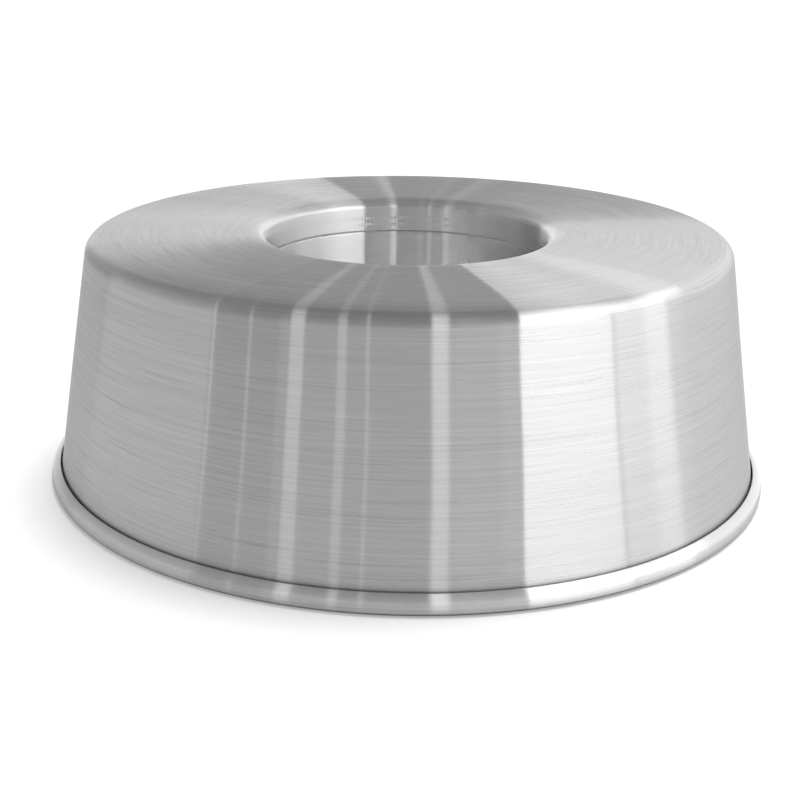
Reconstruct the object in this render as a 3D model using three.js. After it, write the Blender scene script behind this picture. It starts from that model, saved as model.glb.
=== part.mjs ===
// Ring cake pan of spun aluminium, standing on its rolled rim with the base up.
// Millimetres, +Z up. The origin is on the pan's axis, in the plane that the rim stands on.
import * as THREE from "three";

const { degToRad, radToDeg } = THREE.MathUtils;

// Pan body: one spun sheet from the collar in the hole to the rolled rim
const SHEET = 0.9; // thickness of body and tube
const RIM_DIAMETER = 250; // over the rolled rim
const PAN_HEIGHT = 84; // from the plane under the rim to the outside of the base
const BASE_DIAMETER = 219; // where the lines of the wall and the base meet
const SHOULDER_RADIUS = 5.8; // outside, between wall and base

// Rolled rim: the sheet curls outwards round a wire, stands up beside the wall and turns in just short of it
const WIRE_DIAMETER = 1.6;
const WIRE_CLEARANCE = 0.3;
const ROLL_FLANK = 1.5; // straight length of the roll's outer side
const ROLL_CROWN_RADIUS = 2.9; // outside, at the top of the roll
const RIM_CREVICE = 0.5; // left between the edge of the roll and the wall

// Hole in the base: the base dips, turns down in a rounded lip and ends as a collar with a rolled lock groove
const BORE_DIAMETER = 98; // inside the collar
const DIP_RADIUS = 18; // outside
const DIP_ANGLE = 20; // degrees at which the dip meets the lip
const LIP_RADIUS = 3; // outside
const COLLAR_LAND = 1.3; // plain length above and below the groove
const GROOVE_WIDTH = 5;
const GROOVE_DEPTH = 0.15;

// Centre tube: a socket over the collar, a short neck flush with it, then a tapered run
const TUBE_CLEARANCE = 0.3; // between collar and socket
const SEAT_GAP = 0.3; // between the collar's edge and the step that carries it
const STEP_LENGTH = 1.3; // from socket to neck
const NECK_LENGTH = 8;
const NECK_BEND = 20; // radius at which the taper starts
const TUBE_TAPER = 5; // degrees
const TUBE_SETBACK = 4; // how far the tube ends short of the plane under the rim

// Facets of the round forms
const SEGMENTS = 64; // around the axis
const WIRE_SIDES = 8;
const BEND_FACET = 20; // most degrees in one facet of a bend
const FOOT_FACET = 20; // degrees of the level facet under the rim
const ROUNDING = 1e-6;

const boreRadius = BORE_DIAMETER / 2;
const baseRadius = BASE_DIAMETER / 2;
const collarLength = 2 * COLLAR_LAND + GROOVE_WIDTH;

// Dip and lip together reach this far out from the bore and up from the collar, on the outside.
const dip = degToRad(DIP_ANGLE);
const lipReach = LIP_RADIUS * (1 - Math.sin(dip)) + DIP_RADIUS * Math.sin(dip);
const lipRise = LIP_RADIUS * Math.cos(dip) + DIP_RADIUS * (1 - Math.cos(dip));
const lipStart = PAN_HEIGHT - lipRise;

// The lock groove is four equal arcs, as wide and as deep as stated on the collar's centre line.
const grooveAngle = 2 * radToDeg(Math.atan((2 * GROOVE_DEPTH) / GROOVE_WIDTH));
const grooveBend = GROOVE_WIDTH / (4 * Math.sin(degToRad(grooveAngle)));

// The curl round the wire stands on its level facet.
const curlInner = WIRE_DIAMETER / 2 + WIRE_CLEARANCE;
const curlOuter = curlInner + SHEET;
const curlCentre = new THREE.Vector2(
  RIM_DIAMETER / 2 - curlOuter,
  curlOuter * Math.cos(degToRad(FOOT_FACET / 2)),
);

// The crown turns in from the roll's outer side, which runs parallel to the wall.
const crownReach = curlInner + curlOuter - ROLL_CROWN_RADIUS; // from the wall to the crown's centre
const crownSweep = radToDeg(Math.acos((RIM_CREVICE - crownReach) / ROLL_CROWN_RADIUS));

// The wall's outside runs from the edge of the base and meets the inside of the curl as a tangent.
const wallReach = new THREE.Vector2(curlCentre.x - baseRadius, PAN_HEIGHT - curlCentre.y);
const wallTaper = radToDeg(
  Math.atan2(wallReach.x, wallReach.y) - Math.asin(curlInner / wallReach.length()),
);
const wallHeading = wallTaper - 90;
const wallLength = Math.sqrt(wallReach.lengthSq() - curlInner ** 2);
const shoulderTangent = SHOULDER_RADIUS * Math.tan(degToRad(-wallHeading / 2));

/** The centre line of a bent sheet in the half plane (r, z): straights and bends, each tangent to the last. */
class SheetLine {
  constructor(r, z, heading) {
    this.heading = heading; // degrees, anticlockwise from +r
    this.end = new THREE.Vector2(r, z);
    this.stations = [{ point: this.end, heading }];
  }

  static leftOf(heading) {
    const angle = degToRad(heading);
    return new THREE.Vector2(-Math.sin(angle), Math.cos(angle));
  }

  addStation(point, heading) {
    this.stations.push({ point, heading });
    this.end = point;
    this.heading = heading;
  }

  straight(length) {
    const ahead = SheetLine.leftOf(this.heading - 90);
    this.addStation(this.end.clone().addScaledVector(ahead, length), this.heading);
    return this;
  }

  bendTo(radius, heading) {
    const from = this.heading;
    const turn = heading - from;
    const toCentre = radius * Math.sign(turn);
    const centre = this.end.clone().addScaledVector(SheetLine.leftOf(from), toCentre);
    const facets = Math.ceil(Math.abs(turn) / BEND_FACET - ROUNDING);
    for (let i = 1; i <= facets; i += 1) {
      const now = from + (turn * i) / facets;
      this.addStation(centre.clone().addScaledVector(SheetLine.leftOf(now), -toCentre), now);
    }
    return this;
  }

  /** The closed outline of a sheet of this thickness, anticlockwise. */
  outline(thickness) {
    const side = (offset) =>
      this.stations.map(({ point, heading }) =>
        point.clone().addScaledVector(SheetLine.leftOf(heading), offset),
      );
    const right = side(-thickness / 2);
    const left = side(thickness / 2).reverse();
    return [...right, ...left, right[0].clone()];
  }
}

/** Rolls the lock groove into a sheet that stands off the collar; side is 1 if outwards is to the left. */
function rollLockGroove(line, side, standOff) {
  const along = line.heading;
  return line
    .bendTo(grooveBend - standOff, along + side * grooveAngle)
    .bendTo(grooveBend + standOff, along - side * grooveAngle)
    .bendTo(grooveBend - standOff, along);
}

/** The body's sheet, from the collar's edge over lip, dip, base and shoulder and down the wall into the roll. */
function panShellOutline() {
  const line = new SheetLine(boreRadius + SHEET / 2, lipStart - collarLength, 90);
  line.straight(COLLAR_LAND);
  rollLockGroove(line, -1, 0);
  line
    .straight(COLLAR_LAND)
    .bendTo(LIP_RADIUS - SHEET / 2, DIP_ANGLE)
    .bendTo(DIP_RADIUS - SHEET / 2, DIP_ANGLE / 2)
    .bendTo(DIP_RADIUS - SHEET / 2, 0)
    .straight(baseRadius - shoulderTangent - boreRadius - lipReach)
    .bendTo(SHOULDER_RADIUS - SHEET / 2, wallHeading)
    .straight(wallLength - shoulderTangent);
  const flankHeading = wallHeading + 180;
  const curlHeadings = [-FOOT_FACET / 2, FOOT_FACET / 2, 90, flankHeading];
  curlHeadings.forEach((heading) => line.bendTo(curlInner + SHEET / 2, heading));
  line.straight(ROLL_FLANK).bendTo(ROLL_CROWN_RADIUS - SHEET / 2, flankHeading + crownSweep);
  return line.outline(SHEET);
}

/** The tube's sheet, from the socket's edge under the lip down to its plain lower edge. */
function centreTubeOutline() {
  const standOff = SHEET + TUBE_CLEARANCE;
  const stepAngle = 2 * radToDeg(Math.atan(standOff / STEP_LENGTH));
  const stepBend = STEP_LENGTH / (2 * Math.sin(degToRad(stepAngle)));
  const line = new SheetLine(boreRadius + SHEET / 2 + standOff, lipStart, -90);
  line.straight(COLLAR_LAND);
  rollLockGroove(line, 1, standOff);
  line
    .straight(COLLAR_LAND + SEAT_GAP)
    .bendTo(stepBend, -90 - stepAngle)
    .bendTo(stepBend, -90)
    .straight(NECK_LENGTH)
    .bendTo(NECK_BEND, -90 - TUBE_TAPER);
  line.straight((line.end.y - TUBE_SETBACK) / Math.cos(degToRad(TUBE_TAPER)));
  return line.outline(SHEET);
}

function rimWireOutline() {
  const radius = WIRE_DIAMETER / 2;
  return new THREE.EllipseCurve(curlCentre.x, curlCentre.y, radius, radius).getPoints(WIRE_SIDES);
}

/** A ring with this outline, spun about Z. */
function spun(name, outline, material) {
  const mesh = new THREE.Mesh(new THREE.LatheGeometry(outline, SEGMENTS), material);
  mesh.name = name;
  mesh.rotation.x = Math.PI / 2; // the lathe turns about Y
  return mesh;
}

function aluminium() {
  return new THREE.MeshStandardMaterial({ color: 0xc9cacb, roughness: 0.35, metalness: 1 });
}

function steelWire() {
  return new THREE.MeshStandardMaterial({ color: 0x9c9d9e, roughness: 0.45, metalness: 1 });
}

const pan = new THREE.Group();
pan.add(
  spun("pan_shell", panShellOutline(), aluminium()),
  spun("centre_tube", centreTubeOutline(), aluminium()),
  spun("rim_wire", rimWireOutline(), steelWire()),
);

export default pan;
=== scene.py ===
"""Ring cake pan of spun aluminium, standing on its rolled rim: the looks around its CAD frame.

The pan is three pieces: the spun body with its rolled rim, the wire that the rim is rolled round,
and the centre tube that is rolled on to the collar in the body's hole. Each is a profile of a bent
sheet, or of the wire, carried round the axis. Sizes are millimetres; the meshes are in metres.
"""

import logging
import math
from dataclasses import dataclass
from enum import Enum

import bpy
import numpy as np
from mathutils import Matrix, Vector

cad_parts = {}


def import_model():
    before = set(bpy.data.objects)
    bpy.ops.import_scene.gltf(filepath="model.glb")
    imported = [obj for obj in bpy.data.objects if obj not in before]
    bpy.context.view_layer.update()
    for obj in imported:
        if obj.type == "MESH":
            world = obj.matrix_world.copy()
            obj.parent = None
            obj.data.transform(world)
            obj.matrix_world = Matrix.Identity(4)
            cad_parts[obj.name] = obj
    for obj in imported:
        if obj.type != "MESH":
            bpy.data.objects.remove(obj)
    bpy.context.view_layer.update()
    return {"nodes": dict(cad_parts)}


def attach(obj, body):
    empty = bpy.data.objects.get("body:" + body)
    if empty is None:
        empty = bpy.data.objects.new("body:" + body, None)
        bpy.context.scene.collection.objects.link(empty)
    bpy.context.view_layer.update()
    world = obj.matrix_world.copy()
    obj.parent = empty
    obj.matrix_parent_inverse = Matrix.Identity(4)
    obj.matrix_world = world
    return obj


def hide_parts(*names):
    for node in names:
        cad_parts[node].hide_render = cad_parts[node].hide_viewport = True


LOG = logging.getLogger("ring_cake_pan")
BODY = "root"
METRE = 0.001  # one millimetre in metres
TURNING = "turning"  # mesh attribute: cosine and sine of the angle round the axis, length along the sheet
ROLLER = "roller"  # mesh attribute: 1 in the rows that the seaming roller has marked
FACED = "faced"  # mesh attribute: 1 on the base, which is faced off with a coarser tool
BURNISH_AND_HIGHLIGHT = "burnish_and_crown_highlight"  # mesh attribute: 1 in the collar, where the seaming roller has run, and a painted highlight on the rim's crown
PAINTED_SHADE = "painted_shade"  # mesh attribute: painted shade, 1 under the rim as a painted contact shadow where the pan stands, less as painted shade in the crease on the wall's foot
SPIN_MAP = "spin"  # UV map: along the sheet, round the axis
EYE = (0.0, -0.4779, 0.1867)  # place of the camera, in metres
EDGE_ANGLES = np.radians(np.arange(10.0, 180.0, 20.0))  # points round the edge of a sheet
EDGE_POWER = 0.4  # of cosine and sine round that edge; below 1 the edge is blunt


class Side(Enum):
    """A side of the sheet, seen along its profile."""

    LEFT = 1
    RIGHT = -1


class SheetLine:
    """Centre line of a bent sheet in the plane (r, z): straights and bends, each tangent to the last."""

    def __init__(self, r: float, z: float, heading: float, step: float, facet: float) -> None:
        """Starts the line.

        Args:
            r: Distance of the start from the axis, in millimetres.
            z: Height of the start, in millimetres.
            heading: Direction of the start, in degrees anticlockwise from outwards.
            step: Longest piece of a straight, in millimetres.
            facet: Largest piece of a bend, in degrees.
        """
        self.step = step
        self.facet = facet
        self.points = np.array([[r, z]])
        self.headings = np.array([heading])

    def straight(self, length: float) -> "SheetLine":
        """Goes on in the same direction.

        Args:
            length: Length of the straight, in millimetres.

        Returns:
            The line itself.
        """
        count = max(1, math.ceil(length / self.step))
        run = length * np.arange(1, count + 1) / count
        ahead = left_of(self.headings[-1:] - 90.0)
        self.points = np.vstack([self.points, self.points[-1] + run[:, None] * ahead])
        self.headings = np.append(self.headings, np.full(count, self.headings[-1]))
        return self

    def bend_to(self, radius: float, heading: float) -> "SheetLine":
        """Turns on an arc until the line has a new direction.

        Args:
            radius: Radius of the centre line in the bend, in millimetres.
            heading: Direction after the bend, in degrees.

        Returns:
            The line itself.
        """
        turn = heading - self.headings[-1]
        count = max(1, math.ceil(abs(turn) / self.facet))
        to_centre = math.copysign(radius, turn)
        centre = self.points[-1] + to_centre * left_of(self.headings[-1:])
        headings = self.headings[-1] + turn * np.arange(1, count + 1) / count
        self.points = np.vstack([self.points, centre - to_centre * left_of(headings)])
        self.headings = np.append(self.headings, headings)
        return self

    def lengths(self) -> np.ndarray:
        """Length along the line from its start to each station, in millimetres."""
        return np.append(0.0, np.cumsum(np.linalg.norm(np.diff(self.points, axis=0), axis=1)))


def left_of(headings: np.ndarray) -> np.ndarray:
    """Unit vectors (r, z) a quarter turn anticlockwise from headings in degrees."""
    angles = np.radians(headings)
    return np.column_stack([-np.sin(angles), np.cos(angles)])


def smooth_step(value: np.ndarray) -> np.ndarray:
    """Cubic step from 0 at 0 to 1 at 1, level outside."""
    value = np.clip(value, 0.0, 1.0)
    return value * value * (3.0 - 2.0 * value)


def quad_corners(rows: int, around: int) -> tuple[np.ndarray, np.ndarray]:
    """Corners of the faces in a grid.

    Args:
        rows: Number of rows of faces.
        around: Number of faces in a row.

    Returns:
        Row and column of the four corners of each face, not yet wrapped round at the ends.
    """
    row, column = np.meshgrid(np.arange(rows), np.arange(around), indexing="ij")
    corner_rows = np.stack([row, row, row + 1, row + 1], axis=-1)
    return corner_rows, np.stack([column, column + 1, column + 1, column], axis=-1)


@dataclass(frozen=True)
class Profile:
    """A closed outline in the half plane (r, z), anticlockwise.

    Attributes:
        points: Rows of (r, z), in millimetres.
        lengths: Length along the sheet at each row, in millimetres.
    """

    points: np.ndarray
    lengths: np.ndarray


def sheet_profile(right: SheetLine, left: SheetLine, thickness: float) -> Profile:
    """Outline of a bent sheet with blunt edges.

    The right side runs along the line at half the thickness, a blunt edge closes the end, the left
    side runs back and another closes the start. An edge is half a superellipse, whose cosine and sine
    are raised to a power below 1. The two lines follow the same path, and may have steps of their own.

    Args:
        right: Line that the right side follows.
        left: Line that the left side follows.
        thickness: Thickness of the sheet, in millimetres.

    Returns:
        The closed outline.
    """
    half = thickness / 2.0
    beside = np.sign(np.cos(EDGE_ANGLES)) * np.abs(np.cos(EDGE_ANGLES)) ** EDGE_POWER
    ahead = np.sin(EDGE_ANGLES) ** EDGE_POWER

    def edge(line: SheetLine, station: int, turn: float) -> np.ndarray:
        """Blunt edge round one end of a line.

        Args:
            line: Line that ends.
            station: Number of the end's station, 0 or -1.
            turn: Degrees that turn the line's heading there so that it points out of the sheet.

        Returns:
            Rows (r, z) of the edge.
        """
        heading = line.headings[station : station + 1 or None] + turn
        out = ahead[:, None] * left_of(heading - 90.0) - beside[:, None] * left_of(heading)
        return line.points[station] + half * out

    points = [
        right.points - half * left_of(right.headings),
        edge(right, -1, 0.0),
        (left.points + half * left_of(left.headings))[::-1],
        edge(left, 0, 180.0),
    ]
    lengths = [
        right.lengths(),
        np.full(len(EDGE_ANGLES), right.lengths()[-1]),
        left.lengths()[::-1],
        np.zeros(len(EDGE_ANGLES)),
    ]
    return Profile(np.vstack(points), np.concatenate(lengths))


@dataclass(frozen=True)
class Wobble:
    """How far a hand-spun wall is out of round: a few low lobes whose place drifts down the wall.

    Attributes:
        lobes: Number of lobes of each wave.
        depth: Height of each wave, in millimetres.
        drift: Turn of each wave for each millimetre of height, in radians.
        top: Height at which the waves end, at the shoulder, in millimetres.
        foot: Height at which the waves end, above the rim, in millimetres.
    """

    lobes: tuple[int, ...] = (3, 7, 16)
    depth: tuple[float, ...] = (0.1, 0.03, 0.01)
    drift: tuple[float, ...] = (0.012, 0.03, 0.05)
    top: float = 78.0
    foot: float = 8.0

    def offset(self, angle: np.ndarray, height: np.ndarray) -> np.ndarray:
        """Sum of cosine waves round the axis, faded out by a squared sine between foot and top.

        Args:
            angle: Angles round the axis, in radians.
            height: Heights, in millimetres, of a shape that broadcasts with angle.

        Returns:
            Outward offset of the sheet, in millimetres.
        """
        share = np.clip((height - self.foot) / (self.top - self.foot), 0.0, 1.0)
        waves = [
            depth * np.cos(lobes * angle + drift * height + lobes)
            for lobes, depth, drift in zip(self.lobes, self.depth, self.drift, strict=True)
        ]
        return np.sin(np.pi * share) ** 2 * np.sum(waves, axis=0)


class Spun:
    """A closed profile carried round the Z axis, as a mesh with its turning attributes."""

    def __init__(self, profile: Profile, segments: int) -> None:
        """Keeps the profile and the number of segments round the axis."""
        self.profile = profile
        self.segments = segments

    def mesh(
        self, name: str, wobble: Wobble | None = None, marks: dict[str, np.ndarray] | None = None
    ) -> bpy.types.Mesh:
        """Builds the mesh.

        A vertex is (r cos a, r sin a, z), with the profile's row for r and z and the segment for a.
        Rows and segments both close on themselves.

        Args:
            name: Name of the mesh.
            wobble: Out-of-round offset added to r, or None.
            marks: Further attributes, each with a value for each row of the profile, or None.

        Returns:
            The new mesh, smooth, with its UV map and attributes.
        """
        rows = len(self.profile.points)
        around = self.segments
        angle = 2.0 * np.pi * np.arange(around) / around
        radius, height = self.profile.points.T[:, :, None]
        if wobble is not None:
            radius = radius + wobble.offset(angle[None, :], height)
        along = np.broadcast_to(self.profile.lengths[:, None] * METRE, (rows, around))
        cosine = np.broadcast_to(np.cos(angle), (rows, around))
        sine = np.broadcast_to(np.sin(angle), (rows, around))
        upright = np.broadcast_to(height, (rows, around))
        places = np.stack([radius * cosine, radius * sine, upright], axis=-1)

        corner_rows, corner_columns = quad_corners(rows, around)
        corners = (corner_rows % rows) * around + corner_columns % around
        longest = self.profile.lengths.max()
        spin_map = np.stack(
            [self.profile.lengths[corner_rows % rows] / longest, corner_columns / around], axis=-1
        )

        made = bpy.data.meshes.new(name)
        made.vertices.add(rows * around)
        made.vertices.foreach_set("co", (places * METRE).astype(np.float32).ravel())
        made.loops.add(corners.size)
        made.loops.foreach_set("vertex_index", corners.astype(np.int32).ravel())
        made.polygons.add(rows * around)
        made.polygons.foreach_set("loop_start", np.arange(0, corners.size, 4, dtype=np.int32))
        made.polygons.foreach_set("loop_total", np.full(rows * around, 4, dtype=np.int32))
        made.update(calc_edges=True)
        made.shade_smooth()
        made.uv_layers.new(name=SPIN_MAP).data.foreach_set("uv", spin_map.astype(np.float32).ravel())
        turning = np.stack([cosine, sine, along], axis=-1).astype(np.float32)
        made.attributes.new(TURNING, "FLOAT_VECTOR", "POINT").data.foreach_set("vector", turning.ravel())
        for mark, shares in (marks or {}).items():
            values = np.repeat(shares, around).astype(np.float32)
            made.attributes.new(mark, "FLOAT", "POINT").data.foreach_set("value", values)
        return made


def put_in(mesh: bpy.types.Mesh, material: bpy.types.Material, node: str) -> bpy.types.Object:
    """Puts a piece into the scene in place of its CAD node.

    Args:
        mesh: Mesh of the piece, in the frame's own place.
        material: Finish of the piece.
        node: CAD node that the piece stands for.

    Returns:
        The new object.
    """
    piece = bpy.data.objects.new(mesh.name, mesh)
    bpy.context.scene.collection.objects.link(piece)
    mesh.materials.append(material)
    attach(piece, BODY)
    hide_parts(node)
    LOG.info("%s: %d faces for %s", piece.name, len(mesh.polygons), node)
    return piece


class Wiring:
    """Adds nodes to one node tree and joins them."""

    def __init__(self, tree: bpy.types.NodeTree) -> None:
        """Keeps the tree."""
        self.tree = tree

    @classmethod
    def fresh(cls, owner: bpy.types.ID) -> "Wiring":
        """Empties the node tree of a material or world.

        Args:
            owner: Material or world.

        Returns:
            Wiring of the empty tree.
        """
        owner.use_nodes = True
        owner.node_tree.nodes.clear()
        return cls(owner.node_tree)

    def add(
        self, kind: str, inputs: dict[str | int, object] | None = None, **settings: object
    ) -> bpy.types.Node:
        """Adds one node.

        Args:
            kind: Node type, without the words ShaderNode.
            inputs: Value or socket for each input, by name or number.
            settings: Properties of the node.

        Returns:
            The new node.
        """
        node = self.tree.nodes.new(f"ShaderNode{kind}")
        for name, value in settings.items():
            setattr(node, name, value)
        for key, value in (inputs or {}).items():
            if isinstance(value, bpy.types.NodeSocket):
                self.tree.links.new(value, node.inputs[key])
            else:
                node.inputs[key].default_value = value
        return node

    def attribute(self, name: str, output: str = "Fac") -> bpy.types.NodeSocket:
        """Adds an Attribute node for a mesh attribute, and returns one of its outputs."""
        return self.add("Attribute", attribute_name=name).outputs[output]

    def seen(self) -> bpy.types.NodeSocket:
        """Adds a value that is 1 for the rays of the camera, of mirrors and through glass.

        Returns:
            Socket of the value.
        """
        ray = self.add("LightPath").outputs
        camera_or_mirror = self.math("ADD", ray["Is Camera Ray"], ray["Is Glossy Ray"])
        return self.math("ADD", camera_or_mirror, ray["Is Transmission Ray"])

    def math(self, operation: str, *values: object) -> bpy.types.NodeSocket:
        """Adds a Math node on values or sockets, and returns its output."""
        return self.add("Math", dict(enumerate(values)), operation=operation).outputs[0]

    def vector_math(self, operation: str, *values: object) -> bpy.types.NodeSocket:
        """Adds a Vector Math node on vectors or sockets, and returns its output."""
        return self.add("VectorMath", dict(enumerate(values)), operation=operation).outputs[0]

    def smooth_range(self, value: bpy.types.NodeSocket, low: float, high: float) -> bpy.types.NodeSocket:
        """Adds a smooth step from 0 at low to 1 at high, and returns its output."""
        limits = {"Value": value, "From Min": low, "From Max": high}
        return self.add("MapRange", limits, interpolation_type="SMOOTHSTEP").outputs[0]

    def level(self, value: bpy.types.NodeSocket, low: float, high: float) -> bpy.types.NodeSocket:
        """Adds a straight range from 0..1 to low..high, and returns its output."""
        return self.add("MapRange", {"Value": value, "To Min": low, "To Max": high}).outputs[0]


class TurningLines:
    """Shader group of the lines that a spinning tool leaves: long arcs round the axis, fine across it.

    Noise is read at (cosine, sine) of the angle times a slow rate and at the length along the sheet
    over a fine pitch, so that it closes round the axis and changes quickly only along the profile.
    Height is the finest noise itself, and each other output is a smooth step of one of the noises.

    Attributes:
        NAME: Name of the group.
        NOISES: For each pitch, how quickly its lines change round the axis, and the octaves of the noise.
        GRAIN: Strength of each finer octave, as a share of the one before.
        STEPS: For each output, the pitch of its noise, and the noise at which it is 0 and 1.
    """

    NAME = "turning_lines"
    NOISES: dict[str, tuple[float, float]] = {
        "Fine Pitch": (3.0, 2.0),
        "Band Pitch": (2.0, 3.0),
        "Scratch Pitch": (2.5, 1.0),
        "Dash Pitch": (5.0, 2.0),
    }
    GRAIN = 0.6
    STEPS: dict[str, tuple[str, float, float]] = {
        "Streak": ("Band Pitch", 0.25, 0.75),
        "Scratch": ("Scratch Pitch", 0.7, 0.8),
        "Glint": ("Scratch Pitch", 0.32, 0.22),
        "Tick": ("Scratch Pitch", 0.56, 0.68),
        "Dash": ("Dash Pitch", 0.3, 0.7),
    }

    def group(self) -> bpy.types.NodeTree:
        """Returns the group, which is built once."""
        made = bpy.data.node_groups.get(self.NAME)
        return made if made is not None else self._build()

    def _build(self) -> bpy.types.NodeTree:
        """Builds the group and its sockets.

        Returns:
            The new group, with the outputs Height and those of STEPS, from 0 to 1.
        """
        tree = bpy.data.node_groups.new(self.NAME, "ShaderNodeTree")
        tree.interface.new_socket("Turning", in_out="INPUT", socket_type="NodeSocketVector")
        for name in self.NOISES:
            tree.interface.new_socket(name, in_out="INPUT", socket_type="NodeSocketFloat")
        for name in ("Height", *self.STEPS):
            tree.interface.new_socket(name, in_out="OUTPUT", socket_type="NodeSocketFloat")
        wires = Wiring(tree)
        given = tree.nodes.new("NodeGroupInput").outputs
        out = tree.nodes.new("NodeGroupOutput").inputs
        noise = {
            pitch: self._noise(wires, given["Turning"], given[pitch], *rates)
            for pitch, rates in self.NOISES.items()
        }
        tree.links.new(noise["Fine Pitch"], out["Height"])
        for name, (pitch, low, high) in self.STEPS.items():
            tree.links.new(wires.smooth_range(noise[pitch], low, high), out[name])
        return tree

    def _noise(
        self,
        wires: Wiring,
        turning: bpy.types.NodeSocket,
        pitch: bpy.types.NodeSocket,
        arc: float,
        detail: float,
    ) -> bpy.types.NodeSocket:
        """Noise that runs round the axis.

        Args:
            wires: Wiring of the group.
            turning: Socket of the turning attribute.
            pitch: Socket of the distance between lines, in metres.
            arc: How quickly a line changes round the axis.
            detail: Octaves of the noise.

        Returns:
            Socket of the noise, from 0 to 1.
        """
        across = wires.math("DIVIDE", 1.0, pitch)
        rates = wires.add("CombineXYZ", {0: arc, 1: arc, 2: across}).outputs[0]
        place = wires.vector_math("MULTIPLY", turning, rates)
        inputs = {"Vector": place, "Scale": 1.0, "Detail": detail, "Roughness": self.GRAIN}
        return wires.add("TexNoise", inputs).outputs[0]


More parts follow.
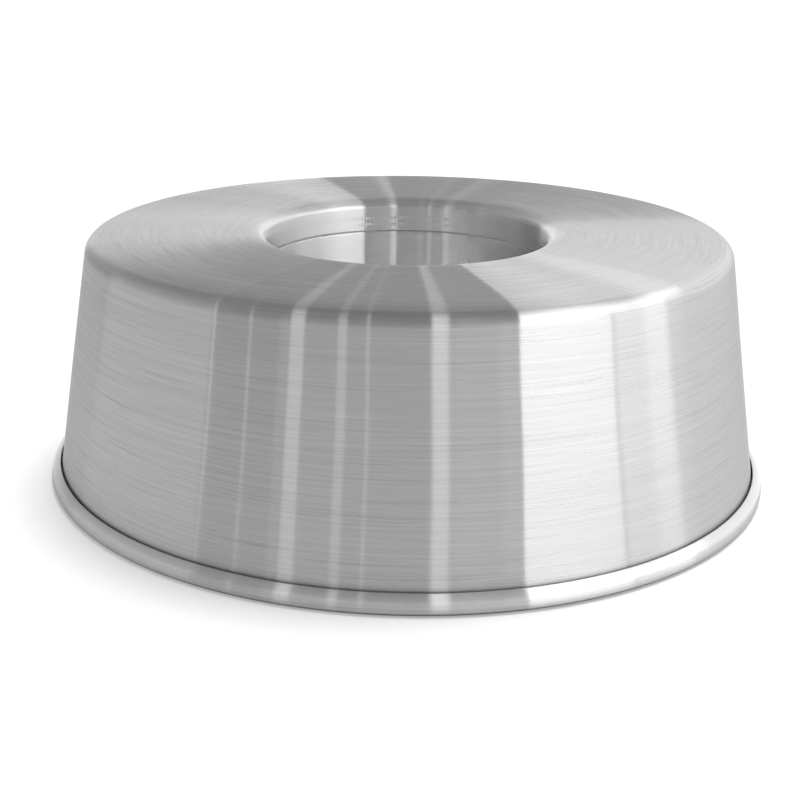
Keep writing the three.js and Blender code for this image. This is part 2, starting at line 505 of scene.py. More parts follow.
@dataclass(frozen=True)
class TurnedMetal:
    """A turned or drawn metal finish whose lines run round the axis.

    Attributes:
        name: Name of the material.
        bright: Linear grey of the clean metal.
        dull: Linear grey in the duller bands.
        smooth: Roughness in the smoother bands.
        rough: Roughness in the rougher bands.
        drawn_out: Anisotropy; below zero the highlight is drawn out along the sheet, across the lines.
        fine_pitch: Distance between fine lines, in metres.
        band_pitch: Distance between wider bands, in metres.
        scratch_pitch: Distance between scratches, in metres.
        mark_grey: Linear grey that a scratch loses and a glint gains.
        faced_mark_grey: The same where a coarser tool has faced the metal.
        line_depth: Depth of the lines, in metres.
        dash_pitch: Distance between short rough dashes, in metres.
        dash_swing: Part by which the dashes raise and lower the share of the broad highlight.
        broad: Roughness of the scratches' broad highlight.
        broad_share: Share of the broad highlight.
        tick_share: Share of the broad highlight that single lines add where no tool has faced the metal.
        faced_share: Share of the broad highlight where a coarser tool has faced the metal.
        faced_polish: Roughness that the other highlight loses there.
        burnish_and_highlight: Linear grey that the seaming roller's burnishing adds in the collar, and that
            paints a highlight on the rim's crown.
        burnish_and_highlight_share: Share of the broad highlight there.
        painted_shade_strength: Share of the grey that painted shade takes off, as a contact shadow under
            the rim and in the crease on the wall's foot.
        roller_marks: Marks of the seaming roller in one turn; 0 for none.
        roller_depth: Depth of the roller's marks, in metres.
    """

    name: str
    bright: float = 0.49
    dull: float = 0.455
    smooth: float = 0.145
    rough: float = 0.16
    drawn_out: float = -0.93
    fine_pitch: float = 0.0003
    band_pitch: float = 0.0007
    scratch_pitch: float = 0.0006
    mark_grey: float = 0.045
    faced_mark_grey: float = 0.012
    line_depth: float = 0.000005
    dash_pitch: float = 0.0012
    dash_swing: float = 0.25
    broad: float = 0.3
    broad_share: float = 0.08
    tick_share: float = 0.26
    faced_share: float = 0.08
    faced_polish: float = 0.0
    burnish_and_highlight: float = 0.0
    burnish_and_highlight_share: float = 0.9
    painted_shade_strength: float = 0.0
    roller_marks: int = 0
    roller_depth: float = 0.000025

    def material(self) -> bpy.types.Material:
        """Builds the material.

        Returns:
            Metal whose tangent runs along the sheet, so that highlights are drawn out across the lines.
        """
        made = bpy.data.materials.new(self.name)
        wires = Wiring.fresh(made)
        turning = wires.attribute(TURNING, "Vector")
        pitches = {
            "Turning": turning,
            "Fine Pitch": self.fine_pitch,
            "Band Pitch": self.band_pitch,
            "Scratch Pitch": self.scratch_pitch,
            "Dash Pitch": self.dash_pitch,
        }
        lines = wires.add("Group", pitches, node_tree=TurningLines().group())
        grey = self._grey(wires, lines)
        roughness = wires.level(lines.outputs["Streak"], self.rough, self.smooth)
        polished_off = wires.math("MULTIPLY", wires.attribute(FACED), self.faced_polish)
        height = lines.outputs["Height"]
        normal = wires.add("Bump", {"Distance": self.line_depth, "Height": height}).outputs[0]
        if self.roller_marks > 0:
            normal = self._roller_bump(wires, turning, normal)
        sharp = {
            "Color": wires.add("CombineColor", {0: grey, 1: grey, 2: grey}).outputs[0],
            "Roughness": wires.math("SUBTRACT", roughness, polished_off),
            "Anisotropy": self.drawn_out,
            "Normal": normal,
            "Tangent": wires.add("Tangent", direction_type="UV_MAP", uv_map=SPIN_MAP).outputs[0],
        }
        broad = sharp | {"Roughness": self.broad}
        polish = wires.add("BsdfAnisotropic", sharp, distribution="MULTI_GGX").outputs[0]
        scratches = wires.add("BsdfAnisotropic", broad, distribution="MULTI_GGX").outputs[0]
        share = self._share_of_broad(wires, lines)
        metal = wires.add("MixShader", {0: share, 1: polish, 2: scratches}).outputs[0]
        wires.add("OutputMaterial", {"Surface": metal})
        return made

    def _grey(self, wires: Wiring, lines: bpy.types.Node) -> bpy.types.NodeSocket:
        """Grey of the metal: its bands, with glints added and scratches taken off, burnishing and a painted
        highlight on the rim's crown added, and painted shade under the rim and on the wall's foot taken
        off.

        Args:
            wires: Wiring of the material.
            lines: Node of the turning lines.

        Returns:
            Socket of the linear grey.
        """
        grey = wires.level(lines.outputs["Streak"], self.dull, self.bright)
        marks = wires.math("SUBTRACT", lines.outputs["Glint"], lines.outputs["Scratch"])
        depth = wires.level(wires.attribute(FACED), self.mark_grey, self.faced_mark_grey)
        grey = wires.math("ADD", grey, wires.math("MULTIPLY", marks, depth))
        # Burnishing adds grey in the collar; on the rim's crown the same grey is a painted highlight.
        burnish_and_highlight = wires.math("MULTIPLY", wires.attribute(BURNISH_AND_HIGHLIGHT), self.burnish_and_highlight)
        # Painted shade: the grey is darkened as a contact shadow under the rim and in the crease on the
        # wall's foot.
        kept = wires.level(wires.attribute(PAINTED_SHADE), 1.0, 1.0 - self.painted_shade_strength)
        return wires.math("MULTIPLY", wires.math("ADD", grey, burnish_and_highlight), kept)

    def _share_of_broad(self, wires: Wiring, lines: bpy.types.Node) -> bpy.types.NodeSocket:
        """Share of the broad highlight: the largest of the dashes', the single lines' and that of the
        collar's burnishing and the crown's painted highlight.

        Args:
            wires: Wiring of the material.
            lines: Node of the turning lines.

        Returns:
            Socket of the share.
        """
        faced = wires.attribute(FACED)
        swing = wires.level(lines.outputs["Dash"], 1.0 - self.dash_swing, 1.0 + self.dash_swing)
        dashes = wires.math("MULTIPLY", wires.level(faced, self.broad_share, self.faced_share), swing)
        ticks = wires.math("MULTIPLY", lines.outputs["Tick"], wires.level(faced, self.tick_share, 0.0))
        burnish_and_highlight = wires.math("MULTIPLY", wires.attribute(BURNISH_AND_HIGHLIGHT), self.burnish_and_highlight_share)
        return wires.math("MAXIMUM", wires.math("MAXIMUM", dashes, ticks), burnish_and_highlight)

    def _roller_bump(
        self, wires: Wiring, turning: bpy.types.NodeSocket, under: bpy.types.NodeSocket
    ) -> bpy.types.NodeSocket:
        """Adds the seaming roller's marks: a sine of the angle round the axis, in the marked rows only.

        Args:
            wires: Wiring of the material.
            turning: Socket of the turning attribute.
            under: Socket of the normal so far.

        Returns:
            Socket of the normal with the marks.
        """
        parts = wires.add("SeparateXYZ", {0: turning})
        angle = wires.math("ARCTAN2", parts.outputs[1], parts.outputs[0])
        wave = wires.math("SINE", wires.math("MULTIPLY", angle, float(self.roller_marks)))
        height = wires.math("MULTIPLY", wave, wires.attribute(ROLLER))
        bump = {"Distance": self.roller_depth, "Height": height, "Normal": under}
        return wires.add("Bump", bump).outputs[0]


@dataclass(frozen=True)
class BodyMarks:
    """Where tools and use have marked the body, and where shade and a highlight are painted on it.
    Millimetres.

    Attributes:
        body: Body that is marked.
        facing_end: Drop below the base down to which the coarser facing tool has worked.
        facing_fade: Drop over which its marks fade.
        burnish_drop: Drop over which the burnishing grows in the hole.
        crown_foot: Height from which the crown of the rim's roll gets a painted highlight.
        crown_fade: Height over which that painted highlight grows.
        contact_shadow_top: Height up to which a painted contact shadow darkens the rim where the pan
            stands.
        contact_shadow_fade: Height over which that painted shadow fades.
        crease_shade: Most painted shade on the wall's foot, in the crease beside the roll.
        crease_shade_fade: Height over which that painted shade fades.
        wall_foot: Height from which a row can belong to the wall's outside.
        wall_within: Distance from the wall's line within which it does.
        roll_from: Distance outside the wall's line from which a row belongs to the roll.
        roller_drops: Places of the seaming roller's bands below the top of the lock groove.
        roller_spread: Half the width of a band.
    """

    body: "PanBody"
    facing_end: float = 0.4
    facing_fade: float = 0.8
    burnish_drop: float = 3.0
    crown_foot: float = 3.0
    crown_fade: float = 2.0
    contact_shadow_top: float = 0.6
    contact_shadow_fade: float = 0.7
    crease_shade: float = 0.5
    crease_shade_fade: float = 1.4
    wall_foot: float = 1.5
    wall_within: float = 0.2
    roll_from: float = 0.3
    roller_drops: tuple[float, ...] = (1.5, 3.9)
    roller_spread: float = 0.35

    def rows(self, points: np.ndarray) -> dict[str, np.ndarray]:
        """Share of each mark at each row of the profile.

        Facing is 1 in the hole and on the base and falls to 0 in the shoulder. Burnishing is 1 in the
        collar,
        0 at the top of the dip; the same mark rises over the crown of the roll as a painted highlight.
        Painted shade lies under the rim as a contact shadow, and less of it on the wall's foot in the
        crease beside the roll. The roller's bands are bell curves in the collar.

        Args:
            points: Rows (r, z) of the profile.

        Returns:
            Shares from 0 to 1 for each mesh attribute.
        """
        body = self.body
        out, up = points.T
        drop = body.height - up
        in_hole = out < body.bore_radius + body.lip_reach
        in_bore = out < body.bore_radius + body.groove_depth + body.sheet
        beside = out - (body.base_diameter / 2.0 + drop * math.tan(body.wall_taper))
        on_roll = beside > self.roll_from
        on_wall = (np.abs(beside) < self.wall_within) & (up > self.wall_foot)
        facing = smooth_step(1.0 - (drop - self.facing_end) / self.facing_fade)
        # Painted highlight: the crown of the roll is made lighter from here up.
        crown = smooth_step((up - self.crown_foot) / self.crown_fade)
        # Painted contact shadow under the rim, where the pan stands on the floor.
        contact_shadow = smooth_step(1.0 - (up - self.contact_shadow_top) / self.contact_shadow_fade)
        # Painted shade in the crease on the wall's foot, beside the roll.
        crease_shade = self.crease_shade * smooth_step(1.0 - (up - up[on_roll].max()) / self.crease_shade_fade)
        bands = [
            np.exp(-(((up - (body.groove_top - place)) / self.roller_spread) ** 2))
            for place in self.roller_drops
        ]
        return {
            ROLLER: np.clip(np.sum(bands, axis=0), 0.0, 1.0) * in_bore,
            FACED: np.where(in_hole, 1.0, facing),
            BURNISH_AND_HIGHLIGHT: np.where(in_hole, smooth_step(drop / self.burnish_drop), crown * on_roll),
            PAINTED_SHADE: np.where(on_wall, crease_shade, contact_shadow),
        }


@dataclass(frozen=True)
class PanBody:
    """The spun body: collar and lip in the hole, base, shoulder, wall and rolled rim. Millimetres.

    Attributes:
        sheet: Thickness of the sheet.
        rim_diameter: Over the rolled rim.
        height: From the plane under the rim to the outside of the base.
        base_diameter: Where the lines of the wall and the base meet.
        shoulder_radius: Outside, between wall and base.
        fall_radius: Outside, where the outer base falls slightly before the shoulder.
        fall_angle: Degrees of that fall.
        wire_diameter: Diameter of the wire in the rim.
        wire_clearance: Between the wire and the curl.
        roll_flank: Straight length of the roll's outer side.
        roll_crown_radius: Outside, at the top of the roll.
        rim_crevice: Between the edge of the roll and the wall.
        foot_facet: Degrees of the level strip under the rim.
        bore_diameter: Inside the collar.
        dip_radius: Outside, where the base dips towards the hole.
        dip_angle: Degrees at which the dip ends.
        lip_slope: Straight length between dip and lip.
        lip_radius: Outside, between that slope and the collar.
        collar_top: Plain length above the lock groove.
        collar_land: Plain length below the lock groove.
        groove_width: Width of the lock groove.
        groove_depth: Depth of the lock groove.
        step: Longest piece of a straight on the side that shows.
        facet: Largest piece of a bend on the side that shows, in degrees.
        inner_step: Longest piece of a straight on the inside.
        inner_facet: Largest piece of a bend on the inside, in degrees.
        segments: Segments round the axis.
    """

    sheet: float = 0.9
    rim_diameter: float = 250.0
    height: float = 84.0
    base_diameter: float = 219.0
    shoulder_radius: float = 5.0
    fall_radius: float = 70.0
    fall_angle: float = 7.0
    wire_diameter: float = 1.6
    wire_clearance: float = 0.3
    roll_flank: float = 1.5
    roll_crown_radius: float = 2.9
    rim_crevice: float = 0.5
    foot_facet: float = 20.0
    bore_diameter: float = 98.0
    dip_radius: float = 18.0
    dip_angle: float = 20.0
    lip_slope: float = 0.98
    lip_radius: float = 1.6
    collar_top: float = 2.28
    collar_land: float = 1.3
    groove_width: float = 5.0
    groove_depth: float = 0.15
    step: float = 2.0
    facet: float = 6.0
    inner_step: float = 8.0
    inner_facet: float = 12.0
    segments: int = 400

    @property
    def bore_radius(self) -> float:
        """Radius inside the collar."""
        return self.bore_diameter / 2.0

    @property
    def lip_reach(self) -> float:
        """How far lip, slope and dip together reach out from the bore."""
        dip = math.radians(self.dip_angle)
        bends = self.lip_radius * (1.0 - math.sin(dip)) + self.dip_radius * math.sin(dip)
        return bends + self.lip_slope * math.cos(dip)

    @property
    def lip_start(self) -> float:
        """Height at which the collar turns into the lip."""
        dip = math.radians(self.dip_angle)
        bends = self.lip_radius * math.cos(dip) + self.dip_radius * (1.0 - math.cos(dip))
        return self.height - bends - self.lip_slope * math.sin(dip)

    @property
    def groove_top(self) -> float:
        """Height at which the lock groove starts, below the lip."""
        return self.lip_start - self.collar_top

    @property
    def collar_length(self) -> float:
        """Length of the collar, from its edge to the lip."""
        return self.collar_top + self.groove_width + self.collar_land

    @property
    def groove_angle(self) -> float:
        """Steepest angle of the lock groove, in degrees, if it is four equal arcs."""
        return 2.0 * math.degrees(math.atan(2.0 * self.groove_depth / self.groove_width))

    @property
    def groove_bend(self) -> float:
        """Radius of each of the groove's four arcs on the collar's centre line."""
        return self.groove_width / (4.0 * math.sin(math.radians(self.groove_angle)))

    @property
    def curl_inner(self) -> float:
        """Inside radius of the curl round the wire."""
        return self.wire_diameter / 2.0 + self.wire_clearance

    @property
    def curl_outer(self) -> float:
        """Outside radius of the curl round the wire."""
        return self.curl_inner + self.sheet

    @property
    def curl_centre(self) -> tuple[float, float]:
        """Centre (r, z) of the curl, which stands on its level strip."""
        lift = self.curl_outer * math.cos(math.radians(self.foot_facet / 2.0))
        return self.rim_diameter / 2.0 - self.curl_outer, lift

    @property
    def wall_reach(self) -> tuple[float, float]:
        """Distance (outwards, down) from the corner of wall and base to the curl's centre."""
        curl_r, curl_z = self.curl_centre
        return curl_r - self.base_diameter / 2.0, self.height - curl_z

    @property
    def wall_taper(self) -> float:
        """Angle of the wall, in radians, whose outside meets the inside of the curl as a tangent."""
        out, down = self.wall_reach
        return math.atan2(out, down) - math.asin(self.curl_inner / math.hypot(out, down))

    def lock_groove(self, line: SheetLine, outwards: Side, stand_off: float) -> SheetLine:
        """Rolls the lock groove into a line as four arcs, out and back.

        Args:
            line: Line to go on with.
            outwards: Side of the line that faces away from the axis.
            stand_off: Distance of the line outside the collar's own centre line.

        Returns:
            The line itself.
        """
        along = line.headings[-1]
        line.bend_to(self.groove_bend - stand_off, along + outwards.value * self.groove_angle)
        line.bend_to(self.groove_bend + stand_off, along - outwards.value * self.groove_angle)
        return line.bend_to(self.groove_bend - stand_off, along)

    def line(self, step: float, facet: float) -> SheetLine:
        """Centre line of the body's sheet.

        It starts half a thickness inside the collar's edge and ends as far inside the edge of the roll,
        because the blunt edges add that much. The outer base falls on a wide arc, and the shoulder goes
        on from there into the wall, whose line is that of the CAD. The roll's outer side is parallel to it.

        Args:
            step: Longest piece of a straight, in millimetres.
            facet: Largest piece of a bend, in degrees.

        Returns:
            The line from the collar over lip, base, shoulder and wall into the roll.
        """
        half = self.sheet / 2.0
        base_radius = self.base_diameter / 2.0
        wall_heading = math.degrees(self.wall_taper) - 90.0
        wall_length = math.sqrt(math.hypot(*self.wall_reach) ** 2 - self.curl_inner**2)
        fall, turn = math.radians(self.fall_angle), math.radians(-wall_heading)
        fall_r, turn_r = self.fall_radius, self.shoulder_radius
        over = fall_r * math.sin(fall) + turn_r * (math.sin(turn) - math.sin(fall))
        down = fall_r * (1.0 - math.cos(fall)) + turn_r * (math.cos(fall) - math.cos(turn))
        crown = self.roll_crown_radius
        crown_reach = self.curl_inner + self.curl_outer - crown
        sweep = math.degrees(math.acos((self.rim_crevice - crown_reach) / crown))
        end_cut = math.degrees(half / (crown - half))

        start = self.lip_start - self.collar_length + half
        line = SheetLine(self.bore_radius + half, start, 90.0, step, facet)
        line.straight(self.collar_land - half)
        self.lock_groove(line, Side.RIGHT, 0.0)
        line.straight(self.collar_top)
        line.bend_to(self.lip_radius - half, self.dip_angle)
        line.straight(self.lip_slope)
        line.bend_to(self.dip_radius - half, 0.0)
        line.straight(base_radius - (over - down / math.tan(turn)) - self.bore_radius - self.lip_reach)
        line.bend_to(fall_r - half, -self.fall_angle)
        line.bend_to(turn_r - half, wall_heading)
        line.straight(wall_length - down / math.sin(turn))
        line.bend_to(self.curl_inner + half, wall_heading + 180.0)
        line.straight(self.roll_flank)
        return line.bend_to(crown - half, wall_heading + 180.0 + sweep - end_cut)

    def mesh(self) -> bpy.types.Mesh:
        """Mesh of the body: fine on the outside, coarser inside, level under the rim.

        Returns:
            The new mesh, with its marks.
        """
        outside = self.line(self.step, self.facet)
        inside = self.line(self.inner_step, self.inner_facet)
        profile = sheet_profile(inside, outside, self.sheet)
        profile.points[:, 1] = np.clip(profile.points[:, 1], 0.0, self.height)
        marks = BodyMarks(self).rows(profile.points)
        return Spun(profile, self.segments).mesh("pan_body", Wobble(), marks)

    def build(self, finish: TurnedMetal) -> bpy.types.Object:
        """Builds and dresses the body."""
        return put_in(self.mesh(), finish.material(), "pan_shell")


@dataclass(frozen=True)
class CentreTube:
    """The tube in the hole: a socket over the collar, a neck flush with it, a tapered run. Millimetres.

    Attributes:
        body: Body that the tube is rolled on to.
        clearance: Between collar and socket.
        seat_gap: From the collar's edge down to the step; below zero the edge sits in the step's bend.
        step_length: From socket to neck.
        neck_length: Plain length below the step.
        neck_bend: Radius at which the taper starts.
        taper: Degrees of the tapered run.
        setback: How far the tube ends short of the plane under the rim.
        step: Longest piece of a straight.
        facet: Largest piece of a bend, in degrees.
        segments: Segments round the axis.
    """

    body: PanBody
    clearance: float = 0.3
    seat_gap: float = -0.15
    step_length: float = 1.3
    neck_length: float = 8.0
    neck_bend: float = 20.0
    taper: float = 5.0
    setback: float = 4.0
    step: float = 2.5
    facet: float = 7.0
    segments: int = 384

    def line(self) -> SheetLine:
        """Centre line of the tube's sheet, half a thickness short of both edges.

        The step is two equal arcs, whose angle is twice that of the slope across it.

        Returns:
            The line from the socket's edge down to the lower edge.
        """
        body = self.body
        half = body.sheet / 2.0
        stand_off = body.sheet + self.clearance
        step_angle = 2.0 * math.degrees(math.atan(stand_off / self.step_length))
        step_bend = self.step_length / (2.0 * math.sin(math.radians(step_angle)))
        socket_top = body.groove_top + body.collar_land
        socket_radius = body.bore_radius + half + stand_off
        line = SheetLine(socket_radius, socket_top - half, -90.0, self.step, self.facet)
        line.straight(body.collar_land - half)
        body.lock_groove(line, Side.LEFT, stand_off)
        line.straight(body.collar_land + self.seat_gap)
        line.bend_to(step_bend, -90.0 - step_angle)
        line.bend_to(step_bend, -90.0)
        line.straight(self.neck_length)
        line.bend_to(self.neck_bend, -90.0 - self.taper)
        drop = line.points[-1, 1] - self.setback
        return line.straight(drop / math.cos(math.radians(self.taper)) - half)

    def build(self, finish: TurnedMetal) -> bpy.types.Object:
        """Builds and dresses the tube.

        Args:
            finish: Finish of the tube.

        Returns:
            The new object.
        """
        profile = sheet_profile(self.line(), self.line(), self.body.sheet)
        mesh = Spun(profile, self.segments).mesh("tube")
        return put_in(mesh, finish.material(), "centre_tube")


@dataclass(frozen=True)
class RimWire:
    """The wire inside the rolled rim.

    Attributes:
        body: Body whose rim is rolled round the wire.
        sides: Points round the wire's own section.
        segments: Segments round the axis.
    """

    body: PanBody
    sides: int = 24
    segments: int = 256

    def build(self, finish: TurnedMetal) -> bpy.types.Object:
        """Builds and dresses the wire: a circle round the curl's centre, carried round the axis.

        Args:
            finish: Finish of the wire.

        Returns:
            The new object.
        """
        turn = 2.0 * np.pi * np.arange(self.sides) / self.sides
        radius = self.body.wire_diameter / 2.0
        circle = np.column_stack([np.cos(turn), np.sin(turn)])
        profile = Profile(np.array(self.body.curl_centre) + radius * circle, radius * turn)
        mesh = Spun(profile, self.segments).mesh("wire")
        return put_in(mesh, finish.material(), "rim_wire")


@dataclass(frozen=True)
class Panel:
    """A soft light or a grey card that the metal mirrors. Degrees; azimuth 0 is in front, 90 on the right.

    Attributes:
        azimuth: Middle of the panel round the pan.
        width: Width of the panel round the pan.
        level: Brightness, where 1 is white.
        low: Lowest elevation.
        high: Highest elevation.
        edge: Width of the soft edge at the sides.
        fade: Height of the soft edge above and below.
    """

    azimuth: float
    width: float
    level: float
    low: float = -10.0
    high: float = 50.0
    edge: float = 2.0
    fade: float = 12.0

    def share(self, azimuth: np.ndarray, elevation: np.ndarray) -> np.ndarray:
        """How far the panel covers each direction.

        Smooth steps in from both sides, and from below and above, are multiplied.

        Args:
            azimuth: Directions round the pan, in degrees.
            elevation: Directions above the horizon, in degrees.

        Returns:
            Shares from 0 to 1.
        """
        above = smooth_step((elevation - self.low) / self.fade + 0.5)
        below = smooth_step((self.high - elevation) / self.fade + 0.5)
        return self._beside(azimuth, elevation) * above * below

    def _beside(self, azimuth: np.ndarray, elevation: np.ndarray) -> np.ndarray:
        """Shares between the panel's upright sides, which are the same at every elevation."""
        away = np.abs((azimuth - self.azimuth + 180.0) % 360.0 - 180.0)
        return smooth_step((self.width / 2.0 - away) / self.edge + 0.5)


@dataclass(frozen=True)
class Strip(Panel):
    """A lamp whose sides are bent so that wall, shoulder and base mirror each in one line to the camera.

    Azimuth and width are those of the mirrored lamp on the pan, not of the lamp itself.

    Attributes:
        eye: Place of the camera, in metres.
        spot: Radius and height of the shoulder that mirrors the lamp, in metres.
        reach: Distance of the lamp, in metres.
        tilts: First and last tilt of the normal that is followed, and the step between, in degrees.
    """

    eye: tuple[float, float, float] = EYE
    spot: tuple[float, float] = (0.111, 0.07)
    reach: float = 1.2
    tilts: tuple[float, float, float] = (-25.0, 56.0, 0.5)

    def _beside(self, azimuth: np.ndarray, elevation: np.ndarray) -> np.ndarray:
        """Shares between the lamp's sides, which bend with the elevation.

        Args:
            azimuth: Directions round the pan, in degrees.
            elevation: Directions above the horizon, in degrees.

        Returns:
            Shares from 0 to 1.
        """
        around = (azimuth + 180.0) % 360.0 - 180.0
        left = np.interp(elevation, *self._path(self.azimuth - self.width / 2.0))
        right = np.interp(elevation, *self._path(self.azimuth + self.width / 2.0))
        from_left = smooth_step((around - left) / self.edge + 0.5)
        return from_left * smooth_step((right - around) / self.edge + 0.5)

    def _path(self, place: float) -> tuple[np.ndarray, np.ndarray]:
        """Directions that one place on the shoulder mirrors to the camera as its normal tilts up.

        The mirrored ray is twice the normal times its product with the view, less the view. It is
        followed from the spot to the sphere on which the lamps stand.

        Args:
            place: Angle of the place round the pan, in degrees.

        Returns:
            Elevations, rising, and the azimuth at each, in degrees.
        """
        turn, tilt = math.radians(place), np.radians(np.arange(*self.tilts))
        radius, height = self.spot
        spot = np.array([radius * math.sin(turn), -radius * math.cos(turn), height])
        view = np.array(self.eye) - spot
        view = view / np.linalg.norm(view)
        normal = np.column_stack([
            math.sin(turn) * np.cos(tilt), -math.cos(turn) * np.cos(tilt), np.sin(tilt)
        ])
        ray = 2.0 * (normal @ view)[:, None] * normal - view
        along = ray @ spot
        run = np.sqrt(along**2 + self.reach**2 - spot @ spot) - along
        lamp = spot + run[:, None] * ray
        elevation = np.degrees(np.arcsin(lamp[:, 2] / self.reach))
        azimuth = np.degrees(np.arctan2(lamp[:, 0], -lamp[:, 1]))
        rising = elevation >= np.maximum.accumulate(elevation)
        return elevation[rising], azimuth[rising]


@dataclass(frozen=True)
class Studio:
    """A pale floor, a soft lamp, plain white light all round, and the panels that the metal mirrors.

    Attributes:
        room: Brightness of the room between the panels.
        panels: Lights and cards round the pan, each laid over those before it.
        screen_radius: Distance of the panels, in metres.
        screen_grid: Points of the screen round the pan and up it.
        screen_foot: Lowest elevation of the screen, in degrees.
        floor_radius: Radius of the floor, in metres.
        floor_sides: Sides of the round floor.
        floor_grey: Linear grey of the floor.
        floor_glow: Light that the floor adds for the camera and in mirrors, so that it shows as white.
        sky: Strength of the plain light all round.
        key_strength: Strength of the lamp.
        key_spread: Angle that the lamp fills, in degrees.
        key_place: Where the lamp stands, in metres.
    """

    room: float = 0.45
    panels: tuple[Panel, ...] = (
        # Overhead and behind
        Panel(0.0, 400.0, 0.33, low=66.0, high=110.0),
        Panel(180.0, 80.0, 1.7, low=8.0, high=20.0, edge=24.0),
        Panel(166.0, 48.0, 1.65, low=16.0, high=31.0, edge=18.0),
        Panel(180.0, 60.0, 1.05, high=8.0, edge=14.0, fade=6.0),
        Panel(-158.0, 22.0, 1.4, high=25.0, edge=8.0),
        # Left and front, low and high
        Panel(-131.0, 34.0, 0.6, high=30.0, edge=6.0),
        Panel(-89.0, 54.0, 0.87, high=25.0, edge=1.0),
        Panel(-89.0, 54.0, 0.6, low=25.0, high=40.0, edge=1.0),
        Panel(-51.0, 24.0, 0.34, high=25.0, edge=1.0),
        Panel(-51.0, 24.0, 0.5, low=25.0, high=66.0, edge=1.0),
        Panel(-14.0, 50.0, 0.62, high=25.0, edge=1.0),
        Panel(-14.0, 50.0, 0.45, low=25.0, high=66.0, edge=1.0),
        # Narrow lamps in front
        Strip(-29.3, 0.45, 1.0, edge=0.3),
        Strip(-23.0, 0.45, 0.8, edge=0.3),
        Strip(-15.6, 2.1, 1.12, high=110.0, edge=0.4),
        Strip(-8.9, 1.3, 0.95, high=70.0, edge=0.4),
        Strip(-5.2, 0.45, 0.9, high=90.0, edge=0.3),
        Strip(5.1, 2.5, 1.55, high=110.0, edge=2.2),
        # Right: grey cards beside a wide soft lamp, and its brighter parts
        Panel(23.5, 20.0, 1.08, high=25.0, edge=1.5),
        Panel(25.5, 16.0, 0.7, low=25.0, high=66.0, edge=2.0),
        Panel(33.0, 7.0, 1.35, high=25.0, edge=5.0),
        Strip(48.0, 18.0, 1.8, low=20.0, high=62.0, edge=12.0),
        Strip(32.4, 31.4, 1.8, high=60.0, edge=1.0),
        Strip(32.4, 31.4, 3.8, low=32.0, high=62.0, edge=1.0),
        Panel(118.0, 40.0, 0.6, low=44.0, high=70.0, edge=16.0),
        Panel(118.0, 42.0, 1.75, high=30.0, edge=3.0),
        Panel(51.0, 32.0, 3.9, high=13.0, edge=1.0),
        Panel(74.5, 11.0, 2.7, high=15.0, edge=1.5),
        Panel(85.5, 11.0, 3.4, high=15.0, edge=4.0),
        Panel(149.0, 32.0, 1.7, high=42.0, edge=8.0),
    )
    screen_radius: float = 1.2
    screen_grid: tuple[int, int] = (1440, 92)
    screen_foot: float = -2.0
    floor_radius: float = 4.0
    floor_sides: int = 96
    floor_grey: float = 0.8
    floor_glow: float = 0.3
    sky: float = 0.4
    key_strength: float = 2.1
    key_spread: float = 24.0
    key_place: tuple[float, float, float] = (0.48, 0.6, 2.5)

    def build(self) -> None:
        """Builds floor, screen, lamp and world."""
        self._floor()
        self._screen()
        self._lamp()
        self._world()

    def _floor(self) -> None:
        """A round pale floor, white in the picture, that keeps the shadow; from below it isn't seen."""
        turn = 2.0 * np.pi * np.arange(self.floor_sides) / self.floor_sides
        ring = self.floor_radius * np.column_stack([np.cos(turn), np.sin(turn), np.zeros_like(turn)])
        mesh = bpy.data.meshes.new("floor")
        mesh.from_pydata(ring.tolist(), [], [list(range(self.floor_sides))])
        made = bpy.data.materials.new("floor_paper")
        wires = Wiring.fresh(made)
        grey = self.floor_grey
        paper = wires.add("BsdfDiffuse", {"Color": (grey, grey, grey, 1.0)}).outputs[0]
        strength = wires.math("MULTIPLY", wires.seen(), self.floor_glow)
        glow = wires.add("Emission", {"Strength": strength}).outputs[0]
        top = wires.add("AddShader", {0: paper, 1: glow}).outputs[0]
        under = wires.add("BsdfTransparent").outputs[0]
        back = wires.add("NewGeometry").outputs["Backfacing"]
        surface = wires.add("MixShader", {0: back, 1: top, 2: under}).outputs[0]
        wires.add("OutputMaterial", {"Surface": surface})
        made.cycles.emission_sampling = "NONE"
        mesh.materials.append(made)
        self._place("floor", mesh)

    def _screen(self) -> None:
        """A dome whose points carry the panels' brightness; only mirrors see it."""
        around, up = self.screen_grid
        azimuth = 360.0 * np.arange(around) / around
        elevation = np.linspace(self.screen_foot, 90.0, up)
        azimuth, elevation = np.meshgrid(azimuth, elevation)
        level = np.full(azimuth.shape, self.room)
        for panel in self.panels:
            share = panel.share(azimuth, elevation)
            level = level * (1.0 - share) + panel.level * share
        turn, rise = np.radians(azimuth), np.radians(elevation)
        flat = np.cos(rise)
        places = np.stack([np.sin(turn) * flat, -np.cos(turn) * flat, np.sin(rise)], axis=-1)
        rows, columns = quad_corners(up - 1, around)
        faces = (rows * around + columns % around).reshape(-1, 4)
        mesh = bpy.data.meshes.new("screen")
        mesh.from_pydata(places.reshape(-1, 3) * self.screen_radius, [], faces)
        values = level.astype(np.float32).ravel()
        mesh.attributes.new("level", "FLOAT", "POINT").data.foreach_set("value", values)
        made = bpy.data.materials.new("screen_light")
        wires = Wiring.fresh(made)
        light = wires.add("Emission", {"Strength": wires.attribute("level")}).outputs[0]
        wires.add("OutputMaterial", {"Surface": light})
        made.cycles.emission_sampling = "NONE"
        mesh.materials.append(made)
        screen = self._place("screen", mesh)
        screen.visible_camera = False
        screen.visible_diffuse = False
        screen.visible_shadow = False

    @staticmethod
    def _place(name: str, mesh: bpy.types.Mesh) -> bpy.types.Object:
        """Puts a stage piece into the scene.

        Args:
            name: Name of the object.
            mesh: Mesh of the object.

        Returns:
            The new object.
        """
        piece = bpy.data.objects.new(name, mesh)
        bpy.context.scene.collection.objects.link(piece)
        return piece

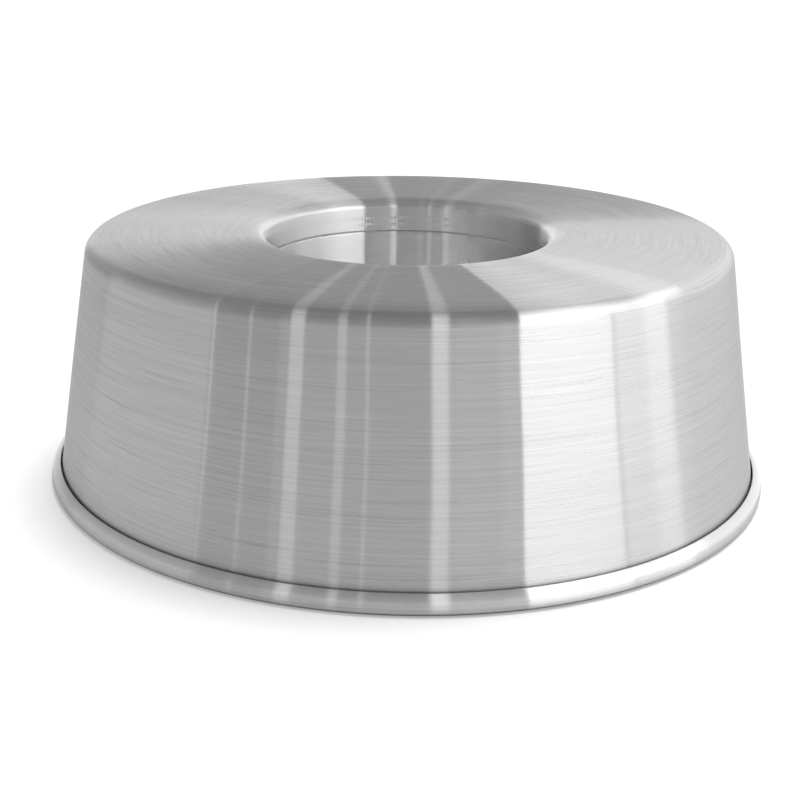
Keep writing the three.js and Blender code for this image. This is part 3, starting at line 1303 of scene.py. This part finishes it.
    def _lamp(self) -> None:
        """A soft lamp far overhead, a little to the right and behind, that draws the shadow to the left."""
        data = bpy.data.lights.new("key", "SUN")
        data.angle = math.radians(self.key_spread)
        data.energy = self.key_strength
        lamp = bpy.data.objects.new("key", data)
        lamp.location = Vector(self.key_place)
        lamp.rotation_mode = "QUATERNION"
        lamp.rotation_quaternion = (-lamp.location).to_track_quat("-Z", "Y")
        lamp.visible_camera = False
        lamp.visible_glossy = False
        bpy.context.scene.collection.objects.link(lamp)

    def _world(self) -> None:
        """Plain light from all round, which shows as white; mirrors see the screen in its place."""
        world = bpy.data.worlds.new("studio")
        bpy.context.scene.world = world
        wires = Wiring.fresh(world)
        strength = wires.level(wires.seen(), self.sky, 1.0)
        light = wires.add("Background", {"Color": (1.0, 1.0, 1.0, 1.0), "Strength": strength})
        wires.add("OutputWorld", {"Surface": light.outputs[0]})
        world.cycles_visibility.glossy = False


@dataclass(frozen=True)
class PhotoCamera:
    """The camera at the photograph's viewing angle.

    Attributes:
        place: Position, in metres.
        pitch: How far it looks down, in radians.
        yaw: How far it is turned to the left, in radians.
        roll: How far it is rolled anticlockwise, in radians.
        focal_pixels: Focal length, in pixels of the picture.
        middle: Pixel that the lens axis passes through, in both directions.
        picture: Width and height of the picture, in pixels.
        sensor: Width of the sensor, in millimetres.
        clip: Nearest and farthest distance that shows, in metres.
    """

    place: tuple[float, float, float] = EYE
    pitch: float = 0.2916
    yaw: float = 0.0481
    roll: float = 0.0017
    focal_pixels: float = 1405.0
    middle: float = 340.0
    picture: float = 800.0
    sensor: float = 36.0
    clip: tuple[float, float] = (0.01, 50.0)

    def build(self) -> None:
        """Builds the camera and makes it the scene's own."""
        data = bpy.data.cameras.new("camera")
        data.sensor_width = self.sensor
        data.lens = self.focal_pixels / self.picture * self.sensor
        data.shift_x = (self.picture / 2.0 - self.middle) / self.picture
        data.shift_y = -data.shift_x
        data.clip_start, data.clip_end = self.clip
        camera = bpy.data.objects.new("camera", data)
        turned = Matrix.Rotation(self.yaw, 4, "Z") @ Matrix.Rotation(math.pi / 2.0 - self.pitch, 4, "X")
        camera.matrix_world = (
            Matrix.Translation(self.place) @ turned @ Matrix.Rotation(self.roll, 4, "Z")
        )
        bpy.context.scene.collection.objects.link(camera)
        bpy.context.scene.camera = camera


def main() -> None:
    """Loads the frame, builds the pan's pieces in order, and sets up studio and camera."""
    logging.basicConfig(level=logging.INFO, format="%(name)s %(message)s")
    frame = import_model()
    LOG.info("CAD nodes: %s", ", ".join(sorted(frame["nodes"])))
    bpy.context.scene.view_settings.view_transform = "Standard"
    body = PanBody()
    # The body's burnishing grey also paints a highlight on the rim's crown, and its painted shade darkens
    # the rim's underside and the wall's foot.
    spun = TurnedMetal(
        "spun_aluminium", faced_share=0.4, faced_polish=0.025, burnish_and_highlight=0.42, painted_shade_strength=0.7, roller_marks=260
    )
    drawn = TurnedMetal(
        "tube_aluminium", bright=0.93, dull=0.91, drawn_out=-0.96, broad=0.24, broad_share=0.9
    )
    wire = TurnedMetal("drawn_wire", bright=0.38, dull=0.33, drawn_out=-0.3)
    body.build(spun)
    CentreTube(body).build(drawn)
    RimWire(body).build(wire)
    Studio().build()
    PhotoCamera().build()


if __name__ == "__main__":
    main()
